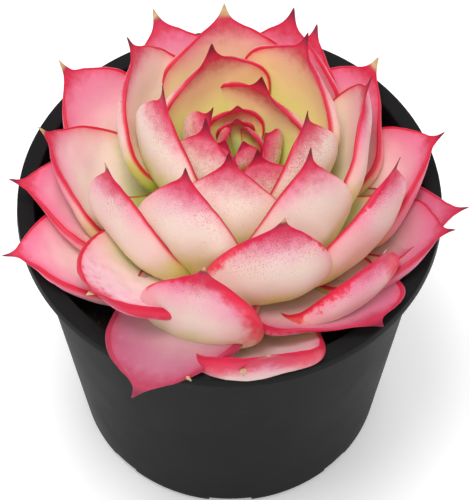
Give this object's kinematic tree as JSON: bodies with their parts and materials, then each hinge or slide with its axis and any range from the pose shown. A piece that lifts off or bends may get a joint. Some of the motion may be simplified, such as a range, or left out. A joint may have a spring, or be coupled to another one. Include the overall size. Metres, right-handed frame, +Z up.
{
  "type": "potted succulent",
  "caption": "Rosette of thick pointed leaves, cream-green with crimson margins and tips, growing in a round tapered plastic nursery pot.",
  "frame": {"origin": "centre of the pot's flat underside, on the plane the pot stands on", "axes": "+Z up the pot's axis, -Y towards the front that the picture shows, +X to the right of that view"},
  "size_m": [0.1284, 0.126, 0.133],
  "materials": {
    "pot": "satin charcoal",
    "soil": "damp potting mix, rough",
    "stem": "matte green stem",
    "leaf": "waxy leaf, cream-green to pink with crimson margin",
    "bud": "waxy young leaf, pink with crimson tip"
  },
  "bodies": {
    "root": {"pot": "pot", "soil": "soil", "stem": "stem", "bud_01": "bud", "bud_02": "bud", "bud_03": "bud", "bud_04": "bud", "bud_05": "bud", "bud_06": "bud", "bud_07": "bud", "leaf_01": "leaf", "leaf_02": "leaf", "leaf_03": "leaf", "leaf_04": "leaf", "leaf_05": "leaf", "leaf_06": "leaf", "leaf_07": "leaf", "leaf_08": "leaf", "leaf_09": "leaf", "leaf_10": "leaf", "leaf_11": "leaf", "leaf_12": "leaf", "leaf_13": "leaf", "leaf_14": "leaf", "leaf_15": "leaf", "leaf_16": "leaf", "leaf_17": "leaf", "leaf_18": "leaf", "leaf_19": "leaf", "leaf_20": "leaf", "leaf_21": "leaf", "leaf_22": "leaf", "leaf_23": "leaf", "leaf_24": "leaf", "leaf_25": "leaf", "leaf_26": "leaf", "leaf_27": "leaf", "leaf_28": "leaf", "leaf_29": "leaf", "leaf_30": "leaf", "leaf_31": "leaf", "leaf_32": "leaf", "leaf_33": "leaf", "leaf_34": "leaf", "leaf_35": "leaf"}
  },
  "joints": []
}
